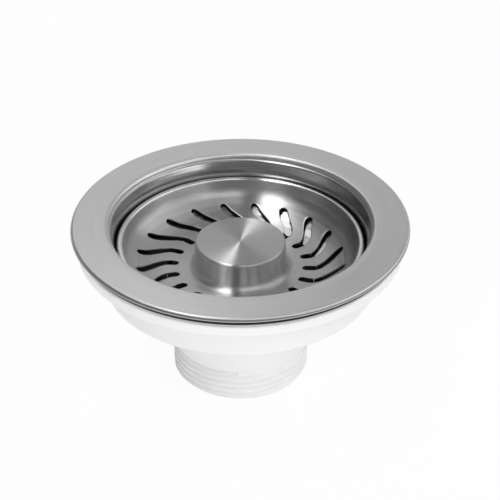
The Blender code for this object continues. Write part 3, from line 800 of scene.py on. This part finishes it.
# %% The hollow screw and the slot across its head
screw_shape = turned(outline([
    (0, 12.9, 0),
    (6.1, 12.9, 0.2),
    (6.45, 13.7, 0.2),
    (6.45, 28.6, 0.2),
    (6.9, 29.2, 0.2),
    (6.9, 31.0, 0.1),
    (9.5, 31.0, 0.2),
    (9.5, 33.5, 0.9),
    (6.8, 33.5, 0.4),
    (6.8, 32.1, 0.15),
    (5.6, 32.1, 0),
    (5.6, 24.8, 0),
    (4.4, 24.8, 0.2),
    (4.4, 15.1, 0.5),
    (0, 15.1, 0),
]), closed=False, sides=SMALL_SIDES)
join_shapes(screw_shape, thread(root=6.45, crest=6.9, pitch=1.4, foot=14.2, turns=10, start=0, steps=48))
screw = place("hollow_screw", screw_shape, BRIGHT_STEEL, "waste", "centre_screw")
cutter_shape = bmesh.new()
bar(cutter_shape, inner=-11, outer=11, width=2.4, foot=32.4, top=35, angle=45, rounding=0.2)
cutter_mesh = bpy.data.meshes.new("driver_slot_cutter")
cutter_shape.to_mesh(cutter_mesh)
cutter_shape.free()
cutter = bpy.data.objects.new("driver_slot_cutter", cutter_mesh)
bpy.context.collection.objects.link(cutter)
modify(screw, "BOOLEAN", operation="DIFFERENCE", object=cutter)
apply_modifiers(screw)
bpy.data.objects.remove(cutter)

# %% The washer and the bush
washer = turned(outline([
    (7.2, 29.9, 0.1),
    (10.4, 29.9, 0.2),
    (10.4, 30.7, 0.2),
    (7.2, 30.7, 0.1),
], closed=True), closed=True, sides=SMALL_SIDES)
place("plastic_washer", washer, WASHER_PLASTIC, "waste", "screw_washer")
bush = turned(outline([
    (4.3, 25.1, 0),
    (5.3, 25.1, 0.2),
    (5.3, 32.1, 0.2),
    (4.4, 32.1, 0),
    (4.0, 31.5, 0.2),
    (4.0, 25.5, 0.2),
], closed=True), closed=True, sides=SMALL_SIDES)
place("guide_bush_sleeve", bush, BLACK_PLASTIC, "waste", "guide_bush")
print("the bush leaves a bore of", 2 * 4.0, "mm for the stem")

# %% [markdown]
# ## The strainer
#
# This is the part that everyone sees and the hardest to make. One sheet is drawn into a knob, a dish and
# a rolled rim, and then 20 slots are punched through the dish. Each slot is an S: straight out from the
# knob, leaning round to one side, and straight out again, with round ends and an even width.
#
# Cutting the slots with a boolean would leave long thin faces round them, and brushed metal shows every
# one. Here the mesh is made to follow the slots instead. One sector of a grid is bent so that two of
# its columns run along the slot's edges, the faces between them are deleted, and the sector is repeated
# 20 times. The loops at both ends of the sectors are then extruded, ring by ring, along the outline.

# %% The strainer's outline
DISH_FLOOR = 40.3
RIM_TOP = DISH_FLOOR + 10.7
KNOB_TOP = DISH_FLOOR + 10.0
KNOB_FOOT = 15.6

strainer_outline = outline([
    (0, KNOB_TOP, 0),
    (15.4, KNOB_TOP, 0.8),
    (KNOB_FOOT, DISH_FLOOR, 2.7),
    (32.38, DISH_FLOOR + 0.3, 18.9),
    (39.2, DISH_FLOOR + 5.9, 5.0),
    (40.0, RIM_TOP, 0.8),
    (41.8, RIM_TOP, 0.8),
    (41.8, RIM_TOP - 1.7, 0),
])


def dish_height(radius):
    """The strainer's height at this radius, read off its outline outside the knob."""
    for here, there in zip(strainer_outline, strainer_outline[1:]):
        if here.x <= radius <= there.x and here.x > KNOB_FOOT + 0.1:
            return here.y + (there.y - here.y) * (radius - here.x) / (there.x - here.x)
    return DISH_FLOOR


print("the dish rises from", round(dish_height(20), 2), "to", round(dish_height(36), 2), "mm")

# %% The path of a slot
SLOTS = 20
SLOT_OUTER_END = 35.7
SLOT_INNER_END = 21.2
HALF_WIDTH = 2.7 / 2
SLOT_FIRST = 10.4
SLOT_SWIRL = 14.4
SWIRL_SHARE = 0.78
NARROWEST = 0.22
WIDENING = 0.6


def slot_angle(radius):
    """The angle of the slot's middle line at this radius, in degrees."""
    share = (SLOT_OUTER_END - radius) / (SLOT_OUTER_END - SLOT_INNER_END)
    turned_share = max(0.0, min(1.0, share / SWIRL_SHARE))
    return SLOT_FIRST - SLOT_SWIRL * turned_share**2 * (3 - 2 * turned_share)


def slot_half_angle(radius):
    """Half of the slot's width seen from the axis, in degrees, drawn in at the round ends."""
    step = 0.05
    lean = math.radians(slot_angle(radius + step) - slot_angle(radius - step)) / (2 * step) * radius
    beyond_outer = radius - (SLOT_OUTER_END - HALF_WIDTH)
    beyond_inner = (SLOT_INNER_END + HALF_WIDTH) - radius
    beyond = max(beyond_outer, beyond_inner, 0) / HALF_WIDTH
    if beyond <= 1:
        narrowed = max(NARROWEST, math.sqrt(1 - beyond**2))
    else:
        narrowed = min(1.0, NARROWEST + (beyond - 1) * WIDENING)
    return math.degrees(HALF_WIDTH * narrowed * math.hypot(1, lean) / radius)


print("the slot leans from", round(slot_angle(36), 1), "to", round(slot_angle(21), 1), "degrees")

# %% The rings of the grid, close together at the slots' ends
END_STEPS = [0.0, 0.3, 0.55, 0.75, 0.9, 1.0]
MIDDLE_STEPS = 24
RINGS_INSIDE = [18.6, 19.4, 20.2, 20.7]
RINGS_OUTSIDE = [36.0, 36.4, 36.9]

inner_end = [SLOT_INNER_END + HALF_WIDTH * (1 - step) for step in reversed(END_STEPS)]
outer_end = [SLOT_OUTER_END - HALF_WIDTH * (1 - step) for step in END_STEPS]
length = outer_end[0] - inner_end[-1]
middle = [inner_end[-1] + length * step / MIDDLE_STEPS for step in range(1, MIDDLE_STEPS)]
rings = RINGS_INSIDE + inner_end + middle + outer_end + RINGS_OUTSIDE
print(len(rings), "rings in the slotted part")

# %% Bend one sector of a grid to the slot and punch it
SLOT_COLUMNS = 4
STRIP_COLUMNS = 12
SEAM_MERGE = 0.005 * MM

strainer = bmesh.new()
columns = SLOT_COLUMNS + STRIP_COLUMNS
bmesh.ops.create_grid(strainer, x_segments=columns, y_segments=len(rings) - 1, size=1)
slot_edge = SLOT_COLUMNS / columns


def bent(corner):
    """Where a corner of the flat grid goes: across becomes the angle, up becomes the ring."""
    radius = rings[round((corner.y + 1) / 2 * (len(rings) - 1))]
    half = slot_half_angle(radius)
    side = abs(corner.x)
    if side <= slot_edge + 0.001:
        off = half * side / slot_edge
    else:
        off = half + (180 / SLOTS - half) * (side - slot_edge) / (1 - slot_edge)
    angle = math.radians(slot_angle(radius) + math.copysign(off, corner.x))
    return Vector((radius * math.cos(angle), radius * math.sin(angle), dish_height(radius))) * MM


def in_slot(face):
    middle = face.calc_center_median()
    ring = (middle.y + 1) / 2 * (len(rings) - 1)
    radius = rings[math.floor(ring)]
    return abs(middle.x) < slot_edge and SLOT_INNER_END - 0.01 <= radius < SLOT_OUTER_END - 0.01


bmesh.ops.delete(strainer, geom=[face for face in strainer.faces if in_slot(face)], context="FACES")
for corner in strainer.verts:
    corner.co = bent(corner.co)
sector = strainer.verts[:] + strainer.edges[:] + strainer.faces[:]
for index in range(1, SLOTS):
    turn = Matrix.Rotation(math.tau * index / SLOTS, 3, "Z")
    copied = bmesh.ops.duplicate(strainer, geom=sector)["geom"]
    bmesh.ops.rotate(strainer, verts=corners_of(copied), cent=(0, 0, 0), matrix=turn)
bmesh.ops.remove_doubles(strainer, verts=strainer.verts, dist=SEAM_MERGE)
print(len(strainer.faces), "faces in the slotted part")

# %% Extrude the open loops inwards over the knob and outwards over the rim
ON_AXIS = 0.001
CENTRE_MERGE = 0.003 * MM


def grow(shape, start_radius, points):
    """Extrudes the loop at this radius through the outline's points, one ring at a time."""

    def on_ring(edge):
        return edge.is_boundary and all(
            abs(math.hypot(corner.co.x, corner.co.y) / MM - start_radius) < 0.02 for corner in edge.verts
        )

    loop = [edge for edge in shape.edges if on_ring(edge)]
    radius, height = start_radius, dish_height(start_radius)
    for point in points:
        grown = bmesh.ops.extrude_edge_only(shape, edges=loop)["geom"]
        loop = edges_of(grown)
        ratio = max(point.x, ON_AXIS) / radius
        bmesh.ops.scale(shape, vec=(ratio, ratio, 1), verts=corners_of(grown))
        bmesh.ops.translate(shape, vec=(0, 0, (point.y - height) * MM), verts=corners_of(grown))
        radius, height = max(point.x, ON_AXIS), point.y
    return len(points)


inward = [point for point in reversed(strainer_outline) if point.x < rings[0] - 0.2]
outward = [point for point in strainer_outline if point.x > rings[-1] + 0.2]
print(grow(strainer, rings[0], inward), "rings inwards and", grow(strainer, rings[-1], outward), "outwards")
bmesh.ops.remove_doubles(strainer, verts=strainer.verts, dist=CENTRE_MERGE)
bmesh.ops.recalc_face_normals(strainer, faces=strainer.faces)
facing_up(strainer)

# %% [markdown]
# The sheet gets its thickness downwards, and then every sharp edge, which means the slots' rims and the
# end of the rolled rim, is rounded slightly. A punched edge is never quite sharp, and the small round is
# what catches the light along each slot.

# %% Thicken the sheet and round the punched edges
BASKET_SHEET = 0.6
PUNCHED_EDGE = 0.13
PUNCHED_ANGLE = math.radians(55)

basket = place("slotted_strainer", strainer, STRAINER_STEEL, "plug", "strainer_basket")
modify(basket, "SOLIDIFY", thickness=BASKET_SHEET * MM, offset=-1, use_even_offset=True)
modify(basket, "BEVEL", width=PUNCHED_EDGE * MM, segments=2, limit_method="ANGLE", angle_limit=PUNCHED_ANGLE)
apply_modifiers(basket)

# %% [markdown]
# ## Under the strainer
#
# A plastic core fills the knob and holds the stem. Below it a carrier and a steel retainer grip the rubber
# stopper, whose thin lip closes on the seat. The stem has a collar that the retainer rests on, a groove for
# the snap ring, and a rounded tip that finds the bush.

# %% The core and the carrier
CARRIER_RIBS = 8

core = turned(outline([
    (0, 45.7, 0),
    (3.3, 45.7, 0.2),
    (3.3, 39.7, 0.2),
    (14.5, 39.7, 0.3),
    (14.5, 49.4, 0.8),
    (0, 49.4, 0),
]), closed=False, sides=SMALL_SIDES)
place("knob_filler", core, BLACK_PLASTIC, "plug", "knob_core")

carrier = turned(outline([
    (3.3, 35.4, 0.2),
    (10.0, 35.4, 0.2),
    (10.0, 37.9, 0.15),
    (19.0, 37.9, 0.3),
    (19.0, 39.4, 0.4),
    (17.6, 39.4, 0.2),
    (17.2, 39.0, 0.2),
    (11.4, 39.0, 0.2),
    (11.0, 39.4, 0.2),
    (3.3, 39.4, 0.2),
], closed=True), closed=True, sides=MIDDLE_SIDES)
for rib in range(CARRIER_RIBS):
    angle = rib * 360 / CARRIER_RIBS
    bar(carrier, inner=11.1, outer=17.5, width=1.0, foot=38.6, top=39.38, angle=angle, rounding=0.15)
print("the carrier has", len(carrier.faces), "faces")
place("stopper_carrier", carrier, BLACK_PLASTIC, "plug", "seal_carrier")

# %% The stopper and the retainer
stopper = turned(outline([
    (10.3, 35.4, 0.2),
    (21.4, 35.4, 0.2),
    (21.7, 35.6, 0.2),
    (22.5, 35.6, 0.2),
    (22.8, 35.4, 0.2),
    (25.0, 35.4, 0.3),
    (25.0, 36.6, 0.5),
    (22.2, 37.6, 0.6),
    (10.3, 37.6, 0.3),
], closed=True), closed=True)
place("rubber_stopper", stopper, BLACK_RUBBER, "plug", "stopper_seal")

retainer = turned(outline([
    (3.3, 34.1, 0.1),
    (13.0, 34.1, 0.35),
    (13.0, 35.1, 0.2),
    (3.3, 35.1, 0.1),
], closed=True), closed=True, sides=MIDDLE_SIDES)
print("the retainer has", len(retainer.faces), "faces")
place("steel_retainer", retainer, BRIGHT_STEEL, "plug", "seal_retainer")

# %% The stem
stem = turned(outline([
    (0, 45.4, 0),
    (3.0, 45.4, 0.5),
    (3.0, 33.8, 0.1),
    (5.8, 33.8, 0.3),
    (5.8, 32.6, 0.3),
    (3.5, 32.6, 0.2),
    (3.5, 25.1, 0.1),
    (2.8, 25.1, 0.1),
    (2.8, 23.1, 0.1),
    (3.5, 23.1, 0.1),
    (3.5, 17.6, 1.2),
    (0, 17.6, 0),
]), closed=False, sides=SMALL_SIDES)
print("the stem has", len(stem.faces), "faces")
place("turned_stem", stem, BRIGHT_STEEL, "plug", "plug_stem")

# %% [markdown]
# The snap ring is open, so it isn't a full turn. Its section is spun through part of a turn, and the two
# section faces at the ends of the sweep stay as its ends.

# %% The open snap ring
WIRE_RADIUS = 3.45
HALF_GAP = 1.0

ring_shape = bmesh.new()
section = outline([(3.1, 23.4, 0.1), (3.8, 23.4, 0.2), (3.8, 24.8, 0.2), (3.1, 24.8, 0.1)], closed=True)
corners = [ring_shape.verts.new((point.x * MM, 0, point.y * MM)) for point in section]
section_face = ring_shape.faces.new(corners)
gap = 2 * math.asin(HALF_GAP / WIRE_RADIUS)
bmesh.ops.rotate(ring_shape, verts=corners, cent=(0, 0, 0), matrix=Matrix.Rotation(gap / 2, 3, "Z"))
bmesh.ops.spin(
    ring_shape,
    geom=corners + list(section_face.edges) + [section_face],
    cent=(0, 0, 0),
    axis=(0, 0, 1),
    angle=math.tau - gap,
    steps=80,
)
bmesh.ops.recalc_face_normals(ring_shape, faces=ring_shape.faces)
print("the snap ring is open over", round(math.degrees(gap), 1), "degrees")
place("open_snap_ring", ring_shape, BRIGHT_STEEL, "catch", "snap_ring")

# %% [markdown]
# ## The room's light
#
# Brushed steel shows the room more than itself, so the room has to be right before the steel can be. It
# could be built from many panels, but each would also light the plastic. Here the world's strength is a
# formula of the direction alone, which places every bright and dark patch where a reflection needs it.
#
# An upright plane, turned a little, parts the room. Its left half is a bright tent with a softbox overhead
# that ends sharply at the plane, which is the straight edge in the light on the knob and the dish. Its
# right half is dim, with a softer panel at the far right. A third light hangs over the front, and a low
# window stands at the right front. The low front itself is dark, and the horizon is white all round.

# %% The two halves of the room
def left_half(side, y, z):
    """A tent that darkens to the far left, and the softbox along the parting plane."""
    tent = (1 - side.between(0.1, 0.5)) * (z.between(0.3, 0.7) * 0.45 + 0.5) + 0.06
    softbox = side.between(0.0, 0.02) * (1 - side.between(0.20, 0.26)) * z.between(0.69, 0.77)
    strength = ((1 - y.between(0.1, 0.6)) * 2.6 + 0.45) * y.between(-0.6, -0.3)
    return tent + softbox * strength


def right_half(x, y, z):
    """A dim wall that ends overhead, and a soft panel at the far right that ends towards the back."""
    wall = (1 - z.between(0.6, 0.75)) * 0.30
    panel = x.between(0.30, 0.45) * (1 - y.between(0.42, 0.62)) * 0.6
    return wall + panel + 0.15


# %% The room
PART_X = 0.9816
PART_Y = 0.1908
PART_OFFSET = 0.1601
EDGE_BLUR = 0.012


def make_room():
    world = bpy.data.worlds.new("white_tent")
    world.use_nodes = True
    bpy.context.scene.world = world
    room = Network(world.node_tree)
    way = room.node("ShaderNodeTexCoord", output="Generated")
    x, y, z = room.outputs("ShaderNodeSeparateXYZ", 0, 1, 2, sockets={0: way})
    front = 0 - y
    side = y * PART_Y - x * PART_X - PART_OFFSET
    left = left_half(side, y, z)
    right = right_half(x, y, z)
    halves = right + (left - right) * side.between(-EDGE_BLUR, EDGE_BLUR)
    low_front = front.between(0.05, 0.5) * (1 - z.between(0.25, 0.6))
    over_front = front.between(0.42, 0.52) * z.between(0.6, 0.75) * x.between(-0.1, 0.05) * 2.1
    window = x.between(0.45, 0.6) * front.between(0.0, 0.2) * (1 - z.between(0.14, 0.24)) * 4.0
    light = halves * (1 - low_front * 0.85) + over_front + window
    horizon = 1 - z.between(0.04, 0.08)
    background = world.node_tree.nodes["Background"]
    room.join(background.inputs["Strength"], light + (1 - light) * horizon)
    background.inputs["Color"].default_value = (1, 1, 1, 1)
    return world


print("the room's light has", len(make_room().node_tree.nodes), "nodes")

# %% [markdown]
# ## The floor
#
# The waste stands on white paper. Paper that is only lit comes out grey and uneven, and more light would
# bleach the object. So the rays from the camera, from metal and through glass see the paper mostly as an
# even white glow, and a small share of the lit surface is kept, which holds the faint shadow.

# %% The floor
FLOOR_REACH = 2.5
FLOOR_DROP = 0.2
GLOW_SHARE = 0.94

floor_shape = bmesh.new()
bmesh.ops.create_grid(floor_shape, x_segments=1, y_segments=1, size=FLOOR_REACH)
floor_mesh = bpy.data.meshes.new("paper_floor")
floor_shape.to_mesh(floor_mesh)
floor_shape.free()
floor = bpy.data.objects.new("paper_floor", floor_mesh)
floor.location = (0, 0, -FLOOR_DROP * MM)
bpy.context.collection.objects.link(floor)

paper = Finish("white_paper", Roughness=0.9, Specular_IOR_Level=0.1)
paper.shade(Base_Color=grey(0.92))
camera_ray, glossy_ray, clear_ray = paper.outputs(
    "ShaderNodeLightPath", "Is Camera Ray", "Is Glossy Ray", "Is Transmission Ray"
)
seen = (camera_ray + glossy_ray + clear_ray).clipped() * GLOW_SHARE
glow = paper.node("ShaderNodeEmission", None, {"Color": (1, 1, 1, 1), "Strength": 1.0})
mixed = paper.node("ShaderNodeMixShader", None, {0: seen, 1: Field(paper, paper.shader.outputs[0]), 2: glow})
paper.tree.links.new(mixed.socket, paper.tree.nodes["Material Output"].inputs["Surface"])
floor_mesh.materials.append(paper.material)
print("the floor reaches", FLOOR_REACH, "m to each side")

# %% [markdown]
# ## The lamps
#
# The room gives the steel its reflections, but it leaves the white plastic flat. Two weak area lamps, one
# at the front left and one at the back right, round it off. They are hidden from glossy rays, so the steel
# doesn't show them and its light and dark fans stay as the room draws them.

# %% Two fill lamps
LAMP_SIZE = 0.9
LAMP_TARGET = Vector((0, 0, 0.03))


def fill_lamp(name, spot, power):
    """A square lamp that looks at the object and shows in no reflection."""
    light = bpy.data.lights.new(name, "AREA")
    light.shape = "SQUARE"
    light.size = LAMP_SIZE
    light.energy = power
    holder = bpy.data.objects.new(name, light)
    holder.location = spot
    holder.visible_glossy = False
    holder.rotation_euler = (LAMP_TARGET - Vector(spot)).to_track_quat("-Z", "Y").to_euler()
    bpy.context.collection.objects.link(holder)
    print(name, "gives", power, "W")


fill_lamp("front_fill", (-0.5, -1.2, 0.5), power=7.0)
fill_lamp("back_fill", (0.7, 1.2, 0.5), power=4.0)

# %% [markdown]
# ## The camera
#
# A camera's place can be worked out from round edges: each is an ellipse in the picture, whose flatness
# gives the tilt, and how the ellipses shrink with their distance gives the lens. These numbers come from
# such a fit, with the flange, the clamping ring and the outlet as the round edges.

# %% The camera
CAMERA_SPOT = (0.00325, -0.50298, 0.37371)
CAMERA_TILT = 56.96
LENS = 127.2

camera_data = bpy.data.cameras.new("studio_camera")
camera_data.sensor_width = 36
camera_data.lens = LENS
camera_data.clip_start = 0.01
camera = bpy.data.objects.new("studio_camera", camera_data)
camera.location = CAMERA_SPOT
camera.rotation_euler = (math.radians(CAMERA_TILT), 0, 0)
bpy.context.collection.objects.link(camera)
bpy.context.scene.camera = camera
bpy.context.scene.view_settings.view_transform = "Standard"
print("the camera looks down by", round(90 - CAMERA_TILT, 2), "degrees")
